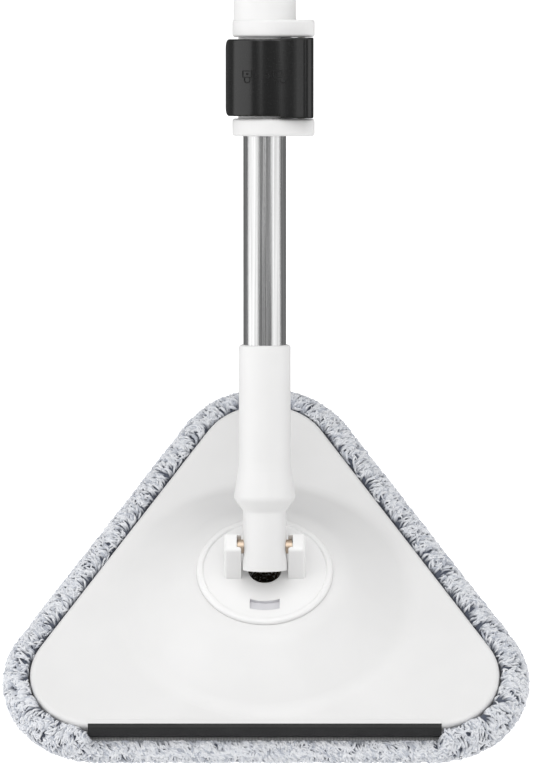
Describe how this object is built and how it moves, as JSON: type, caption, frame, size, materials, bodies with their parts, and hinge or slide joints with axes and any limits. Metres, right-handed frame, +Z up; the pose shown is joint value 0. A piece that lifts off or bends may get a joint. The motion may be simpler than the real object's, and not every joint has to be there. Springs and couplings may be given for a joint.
{
  "type": "flat mop",
  "caption": "Triangular flat mop: domed plate with curly pad and squeegee strip, swivel hub on a hinge pin, telescopic tube with a flip lock.",
  "frame": {"origin": "on the floor plane, under the pad, on the head's swivel axis", "axes": "+Z up, +Y towards the plate's far corner, over which the handle leans, +X to the side of the lever's pivot"},
  "size_m": [0.2744, 0.7603, 0.735],
  "materials": {
    "white_plastic": "satin moulded, very fine texture",
    "zinc_steel": "zinc plated",
    "brushed_tube": "brushed along the tube",
    "coated_tube": "white powder coat",
    "black_plastic": "satin",
    "dark_plastic": "matte, coarse texture",
    "grey_rubber": "matte",
    "black_rubber": "matte",
    "brake_rubber": "matte",
    "bronze": "dull",
    "slip_plastic": "smooth",
    "hook_tape": "fine hooks",
    "backing_cloth": "loop knit",
    "binding_tape": "woven tape",
    "chenille_pile": "curly pile"
  },
  "bodies": {
    "handle": {"clamp_body": "white_plastic", "lower_guide_bush": "slip_plastic", "clamp_shoe": "brake_rubber", "lever_pin": "zinc_steel", "outer_tube": "coated_tube", "tube_screw": "zinc_steel", "hand_grip": "grey_rubber", "end_cap": "white_plastic"},
    "lever": {"clamp_lever": "black_plastic"},
    "lower_tube": {"neck_socket": "white_plastic", "inner_tube": "brushed_tube", "neck_screw": "zinc_steel", "tube_end_guide": "slip_plastic"},
    "hub": {"hub_disc": "white_plastic", "hinge_pin": "zinc_steel", "hinge_washers": "bronze", "retaining_ring": "zinc_steel", "ring_screws": "zinc_steel"},
    "head": {"mop_plate": "white_plastic", "base_board": "dark_plastic", "plate_screws": "zinc_steel", "hook_strips": "hook_tape", "squeegee_blade": "black_rubber", "pad_backing": "backing_cloth", "pad_binding": "binding_tape", "pad_pile": "chenille_pile", "thrust_washer": "slip_plastic"}
  },
  "joints": [
    {"name": "lever_flip", "type": "hinge", "parent": "handle", "child": "lever", "pos_m": [0.0186, 0.165, 0.23604], "axis": [0, 0.7009, 0.7133], "range_deg": [0, 110]},
    {"name": "tube_slide", "type": "slide", "parent": "handle", "child": "lower_tube", "axis": [0, -0.7009, -0.7133], "range_m": [-0.1, 0.36]},
    {"name": "neck_hinge", "type": "hinge", "parent": "lower_tube", "child": "hub", "pos_m": [0, 0, 0.061], "axis": [1, 0, 0], "range_deg": [-134.5, 45.5]},
    {"name": "head_swivel", "type": "hinge", "parent": "hub", "child": "head", "pos_m": [0, 0, 0.04], "axis": [0, 0, 1], "continuous": true}
  ]
}
